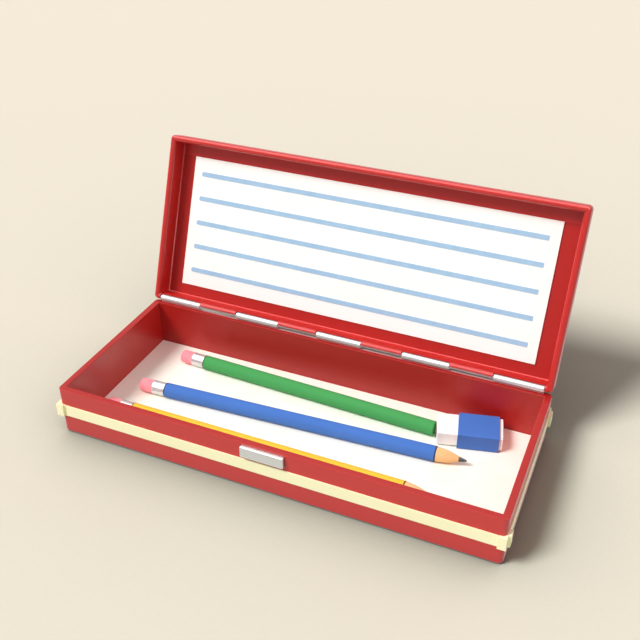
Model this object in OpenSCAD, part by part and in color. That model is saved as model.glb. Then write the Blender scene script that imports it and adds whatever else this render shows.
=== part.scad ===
// Long hinged pencil tin, standing open, with three pencils and a sleeved rubber in its tray.
// Millimetres. The origin is at the middle of the underside, +X runs along the tin to the right,
// +Y runs from the front, where the catch is, to the hinge, and +Z is up.

/* [Tin] */
// Outer length of the tin
tin_l = 205; // [190:1:230]
// Outer depth of the tin from front to back
tin_d = 83.5; // [82:0.5:100]
// Height of the tray from its underside to the top of its rolled rim
tray_h = 24.4; // [23:0.2:34]
// Depth of the lid from its rolled rim to its top
lid_h = 10.1; // [9:0.1:16]
// Thickness of the tinplate sheet
sheet_t = 0.6; // [0.4:0.05:0.7]
// Thickness of a double wall over both of its skins
wall_t = 3; // [2.8:0.1:3.4]
// Rounding of the two edges of the tray's flat rim
rim_r = 0.8; // [0.75:0.05:1.2]
// Radius of the upright outer corners
corner_r = 2; // [1.6:0.1:2.6]
// Rounding of the outer edge round the tray's floor and the lid's top
edge_r = 1.5; // [1:0.1:1.8]
// Concave fillet at the foot of the lid's inner walls
foot_r = 0.9; // [0.4:0.1:1.4]
// Slit between the two rims when the lid is shut
rim_gap = 0.2; // [0.1:0.05:0.4]
// Thickness of the card that lines the tray's floor
liner_t = 0.55; // [0.3:0.05:1]
// Clearance between the liner and the walls round it
liner_gap = 0.2; // [0.1:0.05:0.5]

/* [Hinge] */
// Angle between the lid as it stands open and the lid shut
lid_open = 111.44; // [80:0.02:120]
// Height of the hinge axis above the tray's rim
hinge_up = 2.2; // [2.1:0.05:2.6]
// Distance of the hinge axis inside the back face
hinge_in = 0.82; // [0.7:0.02:0.9]
// Distance from the end of the tin to the first knuckle
hinge_margin = 3.9; // [3.5:0.1:10]
// Length of one knuckle
knuckle_l = 22.8; // [12:0.2:26]
// Thickness of the hinge leaves
leaf_t = 0.65; // [0.5:0.05:0.7]
// Depth of a hinge leaf inside its wall
leaf_h = 5; // [3:0.1:6]
// Height of the tray leaf's edge above the rim between the knuckles
leaf_edge = 0.45; // [0.2:0.05:0.5]
// Radius of the hinge pin
pin_r = 0.9; // [0.7:0.05:0.9]
// Radial clearance of the pin in the knuckles
pin_gap = 0.05; // [0.03:0.01:0.08]
// Clearance round the turning parts of the hinge
swing_gap = 0.25; // [0.2:0.05:0.35]
// Clearance of the lid's cut round the pin
pin_cut = 0.3; // [0.2:0.05:0.4]
// Width of the lid's rim that is folded away in front of the pin
rebate_w = 0.5; // [0.4:0.05:0.7]
// Distance below the axis at which the inner skin is cut for a knuckle
notch_drop = 0.3; // [0.2:0.05:0.5]

/* [Catch] */
// Length of the button
button_w = 20; // [14:0.5:30]
// Height of the button
button_h = 5.6; // [4:0.1:6]
// Distance that the button stands out of the front wall
button_out = 2; // [1.2:0.1:3]
// Distance from the tray's rim down to the button
button_drop = 0.9; // [0.8:0.1:1.2]
// Rounding of the button's edges
button_r = 0.9; // [0.4:0.1:1.2]
// Travel of the button when it is pressed
button_travel = 0.8; // [0.4:0.1:0.8]
// Clearance of the button in its window
button_gap = 0.15; // [0.1:0.05:0.3]
// Clearance of the magnets behind the wall's outer skin
magnet_gap = 0.05; // [0.03:0.01:0.1]
// Thickness of the strip that carries the button and magnets
carrier_t = 0.3; // [0.2:0.05:0.35]
// Thickness of the magnets and of the keeper in the lid
magnet_t = 0.6; // [0.4:0.05:0.6]
// Length of each magnet
magnet_l = 6; // [4:0.5:10]
// Height of each magnet
magnet_h = 4; // [2.5:0.1:4]
// Height of the keeper in the lid
keeper_h = 3; // [2:0.1:4]

/* [Band] */
// Distance from the button down to the band
band_gap = 1.9; // [0.6:0.1:8]
// Height of the band
band_h = 5.9; // [3:0.1:6.6]
// Distance that the band stands out of the wall
band_out = 0.5; // [0.3:0.05:0.9]
// Distance that the corner guards hang below the band
guard_drop = 0.4; // [0:0.1:1]
// Distance that the corner guards stand out of the front wall
guard_front = 1.2; // [1:0.1:2]
// Distance that the corner guards stand out of the end wall
guard_side = 1.6; // [1.2:0.1:2.4]
// Length of a corner guard along the front wall
guard_w = 3.5; // [3:0.1:6]
// Length of a corner guard along the end wall
guard_l = 4.9; // [4:0.1:8]
// Seam between the band and a corner guard
band_seam = 0.1; // [0.05:0.05:0.3]

/* [Label] */
// Distance from the lid's end walls to the label card
label_side = 7.8; // [4:0.1:20]
// Distance from the lid's long walls to the label card
label_edge = 6.1; // [3:0.1:10]
// Thickness of the label card
label_t = 0.8; // [0.4:0.1:1.4]
// Distance between the ruled lines
rule_pitch = 12.24; // [9:0.02:13]
// Width of a ruled line
rule_w = 2.3; // [1:0.1:4]
// Thickness of a ruled line
rule_t = 0.2; // [0.1:0.05:0.3]
// Distance from the label's left edge to the ruled lines
rule_left = 4.5; // [3:0.1:12]
// Distance from the label's right edge to the ruled lines
rule_right = 4.9; // [3:0.1:12]

/* [Pencils] */
// Diameter of the lacquered pencils
pencil_d = 7; // [6.6:0.1:7.8]
// Thickness of the lacquer
lacquer_t = 0.12; // [0.1:0.02:0.2]
// Radius of the lead
lead_r = 1.15; // [0.9:0.05:1.5]
// Radius of the blunt point of the lead
point_r = 0.4; // [0.2:0.05:0.7]
// Length of the bare lead at the point
point_l = 3.5; // [2:0.1:5]
// Length of the sharpened wood
cone_l = 10; // [8:0.1:14]
// Length of the ferrule
ferrule_l = 6.5; // [5:0.1:12]
// Thickness of the ferrule's sheet
ferrule_t = 0.25; // [0.2:0.05:0.4]
// Amount by which the ferrule is thinner than the pencil
ferrule_in = 0.2; // [0.1:0.05:0.4]
// Length of the rubber that shows beyond the ferrule
rubber_l = 6.9; // [3:0.1:9]
// Rounding of the rubber's end
rubber_r = 1.2; // [0.6:0.1:2]
// Clearance between the pieces of a pencil
pencil_fit = 0.03; // [0.02:0.01:0.05]
// Gap between the liner and what lies on it
lie_gap = 0.1; // [0.05:0.05:0.3]
// Length of the blue pencil
blue_l = 160.7; // [120:0.1:168]
// Share of the blue pencil's free length that lies to its left
blue_x = 0.363; // [0.1:0.001:0.9]
// Share of the tray's inner depth that lies in front of the blue pencil's rubber
blue_y = 0.465; // [0.42:0.001:0.49]
// Turn of the blue pencil from the tin's length
blue_turn = 3.09; // [2:0.01:4]
// Length of the green pencil
green_l = 134.9; // [110:0.1:137]
// Share of the free length of the green pencil and the block that lies to their left
green_x = 0.619; // [0.1:0.001:0.9]
// Share of the tray's inner depth that lies in front of the green pencil's rubber
green_y = 0.835; // [0.81:0.001:0.845]
// Turn of the green pencil from the tin's length
green_turn = -1.98; // [-2.6:0.01:-1.4]
// Length of the yellow pencil
yellow_l = 160.7; // [120:0.1:175]
// Share of the yellow pencil's free length that lies to its left
yellow_x = 0.204; // [0.05:0.001:0.95]
// Share of the tray's inner depth that lies in front of the yellow pencil's rubber
yellow_y = 0.224; // [0.1:0.001:0.28]
// Turn of the yellow pencil from the tin's length
yellow_turn = 0.08; // [0:0.01:1.2]

/* [Rubber] */
// Length of the rubber block
block_l = 29.5; // [24:0.5:31]
// Width of the rubber block
block_w = 14.5; // [10:0.5:15]
// Height of the rubber block
block_h = 6.7; // [4:0.1:10]
// Rounding of the rubber block's edges
block_r = 1; // [0.4:0.1:1.6]
// Length of the card sleeve
sleeve_l = 18.4; // [12:0.2:20]
// Thickness of the card sleeve
sleeve_t = 0.7; // [0.4:0.1:1]
// Clearance between the sleeve and the block
sleeve_gap = 0.1; // [0.05:0.05:0.2]
// Distance from the block's right end to the sleeve
sleeve_in = 1.75; // [0.5:0.05:4]
// Turn of the rubber block from the tin's length
block_turn = 13.55; // [10:0.05:15]
// Clearance between the green pencil's blunt end and the block
block_gap = 0.35; // [0.3:0.01:2]

/* [Hidden] */
$fn = 96;

TIN_RED = [0.72, 0.10, 0.09];
CREAM = [0.99, 0.98, 0.80];
STEEL = [0.80, 0.80, 0.80];
PAPER = [1.00, 0.99, 0.94];
RULE_BLUE = [0.70, 0.80, 0.90];
WOOD = [0.95, 0.75, 0.48];
LEAD = [0.20, 0.20, 0.22];
RUBBER_PINK = [0.98, 0.60, 0.64];
PENCIL_BLUE = [0.15, 0.32, 0.72];
PENCIL_GREEN = [0.15, 0.55, 0.22];
PENCIL_YELLOW = [0.98, 0.76, 0.10];

CUT = 1;                                     // how far a cutting body runs past what it cuts
KNUCKLES = 5;                                // odd ones on the tray, even ones on the lid
RULES = 5;
BEND = wall_t / 2;                           // outer radius of a fully rolled rim
axis_x = tin_l / 2 - corner_r;               // axes of the four upright corners
axis_y = tin_d / 2 - corner_r;
front_y = -tin_d / 2;
back_y = tin_d / 2;
inner_l = tin_l - 2 * wall_t;
inner_d = tin_d - 2 * wall_t;
floor_z = sheet_t + liner_t;                 // top of the liner, where the contents lie

hinge_y = back_y - hinge_in;
hinge_z = tray_h + hinge_up;
lid_z = tray_h + rim_gap;                    // rim of the shut lid
knuckle_r = pin_r + pin_gap + leaf_t;
knuckle_pitch = (tin_l - 2 * hinge_margin - knuckle_l) / (KNUCKLES - 1);
hinge_l = tin_l - 2 * hinge_margin;
leaf_y = back_y - sheet_t - leaf_t;          // inner face of both leaves, which lie on the outer skin

button_z = tray_h - button_drop - button_h;
carrier_y = front_y + sheet_t + magnet_gap + magnet_t;
carrier_l = button_w + 2 * (magnet_l + 3 * button_gap);
magnet_top = tray_h - BEND;
band_z = button_z - band_gap - band_h;       // lower edge of the band

// ---- profiles and edges that repeat ----

// The one or two places at which a wall's rim is rounded
module each_bend(height, rim) {
    for (x = rim < BEND ? [rim, wall_t - rim] : [BEND]) translate([x, height - rim]) children();
}

// Section of a double wall, from its outer face at x = 0 to its inner face, foot at y = 0:
// one sheet comes up from the foot, rolls over at the rim and runs down again on the inside.
module wall_section(height, rim, fillet) {
    difference() {
        union() {
            each_bend(height, rim) circle(r = rim);
            if (rim < BEND) translate([rim, height - 2 * rim]) square([wall_t - 2 * rim, 2 * rim]);
            translate([0, edge_r]) square([wall_t, height - rim - edge_r]);
            translate([edge_r, edge_r]) circle(r = edge_r);
            translate([edge_r, 0]) square([wall_t - edge_r, edge_r]);
        }
        each_bend(height, rim) circle(r = rim - sheet_t);
        if (rim < BEND) translate([rim, height - 2 * rim]) square([wall_t - 2 * rim, 2 * rim - sheet_t]);
        translate([sheet_t, edge_r]) square([wall_t - 2 * sheet_t, height - rim - edge_r]);
        translate([edge_r, edge_r]) circle(r = edge_r - sheet_t);
        translate([edge_r, sheet_t]) square([wall_t - sheet_t - edge_r, edge_r - sheet_t]);
    }
    if (fillet > 0) {
        translate([wall_t, sheet_t]) difference() {
            square(fillet);
            translate([fillet, fillet]) circle(r = fillet);
        }
    }
}

// One straight wall along X between two corner axes at x = -half and x = half, y = 0. The part of it
// that lies inside those axes crosses its neighbour's, which makes the mitre of the inner corner.
module straight_wall(half, height, rim, fillet) {
    translate([-half, 0, 0]) rotate([90, 0, 90]) linear_extrude(2 * half)
        translate([-corner_r, 0]) wall_section(height, rim, fillet);
}

// The part of the wall section that lies outside the corner's axis, turned through a quarter
module corner_wall(height, rim) {
    rotate_extrude(angle = 90) intersection() {
        mirror([1, 0]) translate([-corner_r, 0]) wall_section(height, rim, 0);
        square([corner_r, height]);
    }
}

// Four walls and the sheet that closes their foot, standing open upwards
module double_walled_pan(height, rim, fillet) {
    for (side = [0, 1]) rotate([0, 0, 180 * side]) {
        translate([0, -axis_y, 0]) straight_wall(axis_x, height, rim, fillet);
        rotate([0, 0, 90]) translate([0, -axis_x, 0]) straight_wall(axis_y, height, rim, fillet);
        translate([axis_x, axis_y, 0]) corner_wall(height, rim);
        translate([-axis_x, axis_y, 0]) rotate([0, 0, 90]) corner_wall(height, rim);
    }
    linear_extrude(sheet_t) square([2 * axis_x, 2 * axis_y], center = true);
}

// Outline of the tin in plan
module tin_outline() {
    square([tin_l, 2 * axis_y], center = true);
    square([2 * axis_x, tin_d], center = true);
    for (x = [-axis_x, axis_x]) for (y = [-axis_y, axis_y]) translate([x, y]) circle(r = corner_r);
}

// Rectangle with round corners, centred
module round_rect(w, h, r) {
    square([w, h - 2 * r], center = true);
    square([w - 2 * r, h], center = true);
    for (x = [-1, 1]) for (y = [-1, 1])
        translate([x * (w / 2 - r), y * (h / 2 - r)]) circle(r = r);
}

// Block with every edge rounded, centred: what three rounded outlines have in common
module round_block(l, w, h, r) {
    intersection() {
        linear_extrude(h, center = true) round_rect(l, w, r);
        rotate([90, 0, 0]) linear_extrude(w, center = true) round_rect(l, h, r);
        rotate([90, 0, 90]) linear_extrude(l, center = true) round_rect(w, h, r);
    }
}

// Cylinder along +X from x = 0, round the hinge axis or a pencil's axis
module rod(r, l) {
    rotate([0, 90, 0]) cylinder(r = r, h = l);
}

// ---- placing ----

// Moves what is drawn round the hinge axis to the axis
module at_hinge() {
    translate([0, hinge_y, hinge_z]) children();
}

// Swings what is drawn as on the shut lid to where the lid stands open
module on_open_lid() {
    at_hinge() rotate([-lid_open, 0, 0]) translate([0, -hinge_y, -hinge_z]) children();
}

// Turns a thing drawn on its own floor over, so that it becomes the shut lid
module upside_down() {
    translate([0, 0, lid_z + lid_h]) mirror([0, 0, 1]) children();
}

// Middle of knuckle number i, from 0 at the left
function knuckle_x(i) = (i - (KNUCKLES - 1) / 2) * knuckle_pitch;

// Each knuckle of one leaf: part 0 is the tray's, part 1 the lid's
module each_knuckle(part) {
    for (i = [part : 2 : KNUCKLES - 1]) translate([knuckle_x(i), 0, 0]) children();
}

// Lies what is drawn along +X on the liner: left is the free length to its left, share is where it
// starts in the inner depth
module on_liner(left, share, turn) {
    translate([left - inner_l / 2, (share - 1 / 2) * inner_d, floor_z + lie_gap]) rotate([0, 0, turn])
        children();
}

// ---- tray ----

module tray_shell() {
    slot_l = hinge_l + 2 * swing_gap;
    window_l = button_w + 2 * button_gap;
    window_h = button_h + 2 * button_gap;
    color(TIN_RED) difference() {
        double_walled_pan(tray_h, rim_r, 0);
        translate([-slot_l / 2, leaf_y - pin_gap, tray_h - BEND]) cube([slot_l, leaf_t + pin_gap, wall_t]);
        translate([0, front_y, button_z + button_h / 2]) rotate([90, 0, 0])
            linear_extrude(2 * (BEND - sheet_t), center = true)
                round_rect(window_l, window_h, button_r + button_gap);
    }
}

module tray_liner() {
    w = inner_l - 2 * liner_gap;
    d = inner_d - 2 * liner_gap;
    color(PAPER) translate([-w / 2, -d / 2, sheet_t]) cube([w, d, liner_t]);
}

// ---- band and its corner guards ----

guard_turn = guard_front;                    // the guard's front leg reaches this far round the corner

// A strip of the band between two places on a wall whose outer face is y = 0
module strip(from_x, to_x) {
    color(CREAM) translate([from_x, -band_out, band_z]) cube([to_x - from_x, band_out, band_h]);
}

right_guard_x = tin_l / 2 + band_out - guard_w - band_seam;
left_guard_x = -tin_l / 2 + guard_w + 2 * band_seam;

module band_front() {
    translate([0, front_y, 0]) strip(left_guard_x, right_guard_x);
}

module band_back() {
    mirror([0, 1, 0]) translate([0, front_y, 0]) strip(left_guard_x, right_guard_x);
}

module band_right() {
    half = tin_d / 2 - guard_l - band_seam;
    rotate([0, 0, 90]) translate([0, -tin_l / 2, 0]) strip(-half, half);
}

module band_left() {
    half = tin_d / 2 - guard_l - band_seam;
    rotate([0, 0, -90]) translate([0, -tin_l / 2, 0]) strip(-half, half);
}

// Plan of the guard at the right front corner: one leg on each wall, stepped at the corner
module stepped_guard_plan() {
    translate([tin_l / 2 + band_out, front_y]) {
        translate([-guard_w, -guard_front]) square([guard_w, guard_front + guard_turn]);
        translate([-band_out - corner_r, guard_turn]) square([corner_r + guard_side, guard_l - guard_turn]);
    }
}

// Plan of the guard at the left front corner: a plain block with a thin tab towards the band
module plain_guard_plan() {
    translate([-tin_l / 2 - guard_side, front_y]) {
        translate([0, -guard_front]) square([guard_w + guard_side - BEND, guard_front + guard_l]);
        translate([0, -band_out / 2]) square([guard_w + guard_side, BEND]);
    }
}

module guard() {
    color(CREAM) translate([0, 0, band_z - guard_drop]) linear_extrude(band_h + guard_drop)
        difference() {
            children();
            tin_outline();
        }
}

module guard_front_right() {
    guard() stepped_guard_plan();
}

module guard_back_right() {
    guard() mirror([0, 1]) stepped_guard_plan();
}

module guard_front_left() {
    guard() plain_guard_plan();
}

module guard_back_left() {
    guard() mirror([0, 1]) plain_guard_plan();
}

// ---- catch: pressing the button slides the magnets back from under the lid's keeper ----

module latch_button() {
    back = carrier_y - front_y;
    depth = button_out + back;
    color(STEEL) translate([0, front_y, button_z + button_h / 2]) difference() {
        translate([0, button_r - button_out + depth / 2, 0])
            round_block(button_w, depth + 2 * button_r, button_h, button_r);
        translate([-button_w, back, -button_h]) cube([2 * button_w, depth, 2 * button_h]);
    }
}

module latch_carrier() {
    h = magnet_h + sheet_t;
    color(STEEL) translate([-carrier_l / 2, carrier_y, magnet_top - h]) cube([carrier_l, carrier_t, h]);
}

module catch_magnets() {
    for (side = [0, 1]) mirror([side, 0, 0])
        color(LEAD) translate([button_w / 2 + 2 * button_gap, carrier_y - magnet_t, magnet_top - magnet_h])
            cube([magnet_l, magnet_t, magnet_h]);
}

module lid_keeper() {
    color(STEEL) on_open_lid() translate([-carrier_l / 2, front_y + sheet_t, lid_z + BEND])
        cube([carrier_l, magnet_t, keeper_h]);
}

// ---- hinge ----

// Clears a ring round the hinge axis over every knuckle of one leaf
module knuckle_clearance(part) {
    l = knuckle_l + 2 * swing_gap;
    at_hinge() each_knuckle(part) translate([-l / 2, 0, 0]) rod(knuckle_r + swing_gap, l);
}

// Rolled knuckles of one leaf, bored for the pin, with the plate from from_z to to_z that they grow from
module hinge_leaf(part, from_z, to_z, edge_z) {
    low = min(from_z, edge_z);
    high = max(from_z, edge_z);
    neck_low = min(hinge_z, to_z, from_z);
    neck_high = max(hinge_z, to_z, from_z);
    difference() {
        union() {
            difference() {
                translate([-hinge_l / 2, leaf_y, low]) cube([hinge_l, leaf_t, high - low]);
                knuckle_clearance(1 - part);
            }
            each_knuckle(part) translate([-knuckle_l / 2, 0, 0]) {
                translate([0, leaf_y, neck_low]) cube([knuckle_l, leaf_t, neck_high - neck_low]);
                at_hinge() rod(knuckle_r, knuckle_l);
            }
        }
        at_hinge() translate([-hinge_l, 0, 0]) rod(pin_r + pin_gap, 2 * hinge_l);
    }
}

module tray_hinge_leaf() {
    color(STEEL) hinge_leaf(0, tray_h - leaf_h, hinge_z, tray_h + leaf_edge);
}

module lid_hinge_leaf() {
    color(STEEL) on_open_lid() hinge_leaf(1, hinge_z + leaf_h, hinge_z, hinge_z + pin_r + pin_cut);
}

module hinge_pin() {
    color(STEEL) at_hinge() translate([-hinge_l / 2, 0, 0]) rod(pin_r, hinge_l);
}

// ---- lid ----

module lid_shell() {
    cut_l = hinge_l + 2 * swing_gap;
    notch_l = knuckle_l + 2 * swing_gap;
    notch_h = hinge_z - notch_drop - lid_z;
    color(TIN_RED) on_open_lid() difference() {
        upside_down() double_walled_pan(lid_h, BEND, foot_r);
        translate([-cut_l / 2, hinge_y - rebate_w, lid_z - CUT])
            cube([cut_l, wall_t, hinge_z - lid_z + CUT]);
        at_hinge() translate([-cut_l / 2, 0, 0]) rod(pin_r + pin_cut, cut_l);
        for (part = [0, 1]) {
            knuckle_clearance(part);
            each_knuckle(part) translate([-notch_l / 2, back_y - wall_t - CUT, lid_z - CUT])
                cube([notch_l, wall_t + 2 * CUT, notch_h + CUT]);
        }
    }
}

module on_lid_panel() {
    upside_down() translate([0, 0, sheet_t]) children();
}

module label_card() {
    w = inner_l - 2 * label_side;
    h = inner_d - 2 * label_edge;
    color(PAPER) on_open_lid() on_lid_panel() translate([-w / 2, -h / 2, 0]) cube([w, h, label_t]);
}

module label_rules() {
    left = -inner_l / 2 + label_side + rule_left;
    right = inner_l / 2 - label_side - rule_right;
    color(RULE_BLUE) on_open_lid() on_lid_panel()
        for (i = [0 : RULES - 1])
            translate([(left + right) / 2, (i - (RULES - 1) / 2) * rule_pitch, label_t])
                linear_extrude(rule_t) {
                    square([right - left - rule_w, rule_w], center = true);
                    for (end = [-1, 1])
                        translate([end * (right - left - rule_w) / 2, 0]) circle(d = rule_w);
                }
}

// ---- pencils: drawn along +X from the rubber's end, lying on z = 0 ----

lacquer_r = pencil_d / 2;
wood_r = lacquer_r - lacquer_t - pencil_fit;
ferrule_r = lacquer_r - ferrule_in;
plug_r = ferrule_r - ferrule_t - pencil_fit;
body_x = rubber_l + ferrule_l;
block_skew = block_turn - green_turn;
block_near = lacquer_r * sin(block_skew) + block_gap;     // from the green pencil's end to the block
row_l = green_l + (block_near + block_l) * cos(block_turn) + block_w / 2 * sin(block_turn);

// Turns a half section, drawn with its length along +X and its radius along +Y, round the pencil's axis
module turned() {
    translate([0, 0, lacquer_r]) rotate([0, 90, 0]) rotate_extrude() rotate(90) mirror([0, 1]) children();
}

// Where the wood and lead end: at the point, or just inside the lacquer that closes a blunt end
function core_end(length, sharp) = sharp ? length : length - lacquer_t - pencil_fit;

module pencil_wood(length, sharp) {
    end = core_end(length, sharp) - (sharp ? point_l : 0);
    cone = sharp ? cone_l : 0;
    color(WOOD) turned() difference() {
        polygon([[rubber_l + ferrule_l / 2, 0], [rubber_l + ferrule_l / 2, plug_r], [body_x, plug_r],
                 [body_x, wood_r], [end - cone, wood_r], [end, sharp ? lead_r + pencil_fit : wood_r],
                 [end, 0]]);
        translate([body_x, -CUT]) square([length, lead_r + pencil_fit + CUT]);
    }
}

module pencil_lacquer(length, paint, sharp) {
    bare = sharp ? point_l + cone_l : 0;
    color(paint) turned() {
        translate([body_x, lacquer_r - lacquer_t]) square([length - bare - body_x, lacquer_t]);
        if (!sharp) translate([length - lacquer_t, 0]) square([lacquer_t, lacquer_r]);
    }
}

module pencil_lead(length, sharp) {
    end = core_end(length, sharp);
    point = sharp ? point_l : 0;
    tip_r = sharp ? point_r : lead_r;
    color(LEAD) turned()
        polygon([[body_x + pencil_fit, 0], [body_x + pencil_fit, lead_r], [end - point, lead_r],
                 [end, tip_r], [end, 0]]);
}

module pencil_ferrule() {
    color(STEEL) turned()
        translate([rubber_l, ferrule_r - ferrule_t]) square([ferrule_l - pencil_fit, ferrule_t]);
}

module pencil_rubber() {
    color(RUBBER_PINK) turned() {
        translate([rubber_r, 0]) square([rubber_l - rubber_r, plug_r]);
        square([rubber_r, plug_r - rubber_r]);
        intersection() {
            translate([rubber_r, plug_r - rubber_r]) circle(r = rubber_r);
            square([rubber_l, plug_r]);
        }
        translate([rubber_l, 0]) square([ferrule_l / 2 - pencil_fit, plug_r]);
    }
}

module lay_blue() {
    on_liner(blue_x * (inner_l - blue_l), blue_y, blue_turn) children();
}

module lay_green() {
    on_liner(green_x * (inner_l - row_l), green_y, green_turn) children();
}

module lay_yellow() {
    on_liner(yellow_x * (inner_l - yellow_l), yellow_y, yellow_turn) children();
}

module blue_wood() { lay_blue() pencil_wood(blue_l, true); }
module blue_lacquer() { lay_blue() pencil_lacquer(blue_l, PENCIL_BLUE, true); }
module blue_lead() { lay_blue() pencil_lead(blue_l, true); }
module blue_ferrule() { lay_blue() pencil_ferrule(); }
module blue_rubber() { lay_blue() pencil_rubber(); }

module green_wood() { lay_green() pencil_wood(green_l, false); }
module green_lacquer() { lay_green() pencil_lacquer(green_l, PENCIL_GREEN, false); }
module green_lead() { lay_green() pencil_lead(green_l, false); }
module green_ferrule() { lay_green() pencil_ferrule(); }
module green_rubber() { lay_green() pencil_rubber(); }

module yellow_wood() { lay_yellow() pencil_wood(yellow_l, true); }
module yellow_lacquer() { lay_yellow() pencil_lacquer(yellow_l, PENCIL_YELLOW, true); }
module yellow_lead() { lay_yellow() pencil_lead(yellow_l, true); }
module yellow_ferrule() { lay_yellow() pencil_ferrule(); }
module yellow_rubber() { lay_yellow() pencil_rubber(); }

// ---- rubber in its card sleeve, beside the blunt end of the green pencil ----

module lay_block() {
    lay_green() translate([green_l, 0, 0]) rotate([0, 0, block_skew])
        translate([block_near + block_l / 2, 0, sleeve_t + sleeve_gap + block_h / 2]) children();
}

module rubber_block() {
    color(PAPER) lay_block() round_block(block_l, block_w, block_h, block_r);
}

module rubber_sleeve() {
    hole_w = block_w + 2 * sleeve_gap;
    hole_h = block_h + 2 * sleeve_gap;
    color(PENCIL_BLUE) lay_block() translate([block_l / 2 - sleeve_in - sleeve_l, 0, 0])
        rotate([90, 0, 90]) linear_extrude(sleeve_l) difference() {
            round_rect(hole_w + 2 * sleeve_t, hole_h + 2 * sleeve_t, sleeve_t);
            square([hole_w, hole_h], center = true);
        }
}

tray_shell();
tray_liner();
band_front();
band_back();
band_left();
band_right();
guard_front_left();
guard_front_right();
guard_back_left();
guard_back_right();
latch_button();
latch_carrier();
catch_magnets();
tray_hinge_leaf();
hinge_pin();
lid_shell();
lid_hinge_leaf();
lid_keeper();
label_card();
label_rules();
blue_wood();
blue_lacquer();
blue_lead();
blue_ferrule();
blue_rubber();
green_wood();
green_lacquer();
green_lead();
green_ferrule();
green_rubber();
yellow_wood();
yellow_lacquer();
yellow_lead();
yellow_ferrule();
yellow_rubber();
rubber_block();
rubber_sleeve();
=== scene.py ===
"""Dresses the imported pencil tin: fine pieces, finishes, studio and camera.

Sizes in the classes are millimetres; a piece turns to metres as it is handed to the frame, in
which +X is right, +Y is back and +Z is up.
"""
import logging
import math
from collections.abc import Callable, Iterable, Sequence
from dataclasses import dataclass, field
from enum import Enum

import bmesh
import bpy
from mathutils import Matrix, Vector


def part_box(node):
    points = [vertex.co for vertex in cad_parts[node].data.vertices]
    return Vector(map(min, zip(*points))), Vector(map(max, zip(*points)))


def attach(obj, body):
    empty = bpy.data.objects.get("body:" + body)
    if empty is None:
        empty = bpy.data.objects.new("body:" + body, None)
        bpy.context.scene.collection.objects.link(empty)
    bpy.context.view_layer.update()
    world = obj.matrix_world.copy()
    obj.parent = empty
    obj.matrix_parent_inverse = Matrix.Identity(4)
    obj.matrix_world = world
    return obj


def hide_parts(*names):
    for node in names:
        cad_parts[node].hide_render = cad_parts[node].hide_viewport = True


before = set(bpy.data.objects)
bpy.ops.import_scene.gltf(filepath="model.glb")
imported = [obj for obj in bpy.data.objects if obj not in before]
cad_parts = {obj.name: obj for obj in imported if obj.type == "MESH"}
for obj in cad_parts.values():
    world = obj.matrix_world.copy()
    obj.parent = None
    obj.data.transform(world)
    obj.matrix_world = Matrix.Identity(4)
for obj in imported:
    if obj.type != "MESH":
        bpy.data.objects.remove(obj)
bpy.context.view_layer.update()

LOG = logging.getLogger("pencil_tin")
MM = 0.001
CLOSE = 0.01  # places nearer to each other than this, in millimetres, are taken as one
SQUARE_ON = 0.9  # the least share of a face's normal along the way that it faces
WAVE_RADIANS = 20  # what a wave texture takes to a unit of length
SMOOTH_ANGLE = math.radians(38)
Socket = bpy.types.NodeSocket
Shape = bmesh.types.BMesh


# ---- colours and nodes ----


def linear(hex_colour: str) -> tuple[float, float, float, float]:
    """Turns a written sRGB colour into the linear one that shaders use.

    Args:
        hex_colour: six hex digits, such as "c84a40".

    Returns:
        Linear red, green, blue and an alpha of one.
    """
    parts = [int(hex_colour[i:i + 2], 16) / 255 for i in (0, 2, 4)]
    red, green, blue = (
        p / 12.92 if p <= 0.04045 else ((p + 0.055) / 1.055) ** 2.4 for p in parts
    )
    return (red, green, blue, 1.0)


def add_node(
    tree: bpy.types.NodeTree,
    kind: str,
    inputs: dict | None = None,
    **settings: object,
) -> bpy.types.Node:
    """Adds a shader node, fills its sockets and sets its properties.

    Args:
        tree: the material's or world's node tree.
        kind: the node's type name.
        inputs: socket name or number -> a value, or an output socket to link from.
        settings: properties of the node itself.

    Returns:
        The new node.
    """
    node = tree.nodes.new(kind)
    for name, value in settings.items():
        setattr(node, name, value)
    for key, value in (inputs or {}).items():
        if isinstance(value, bpy.types.NodeSocket):
            tree.links.new(value, node.inputs[key])
        else:
            node.inputs[key].default_value = value
    return node


# ---- finishes ----


class Grain(Enum):
    """What the finest pattern of a surface is made of."""

    FLOW = "soft waves of a coat that flowed out"
    BRUSHED = "long fine scratches"
    FIBRES = "matted pulp fibres"
    SPECKS = "grit in a soft body"
    STREAKS = "growth lines of wood"


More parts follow.
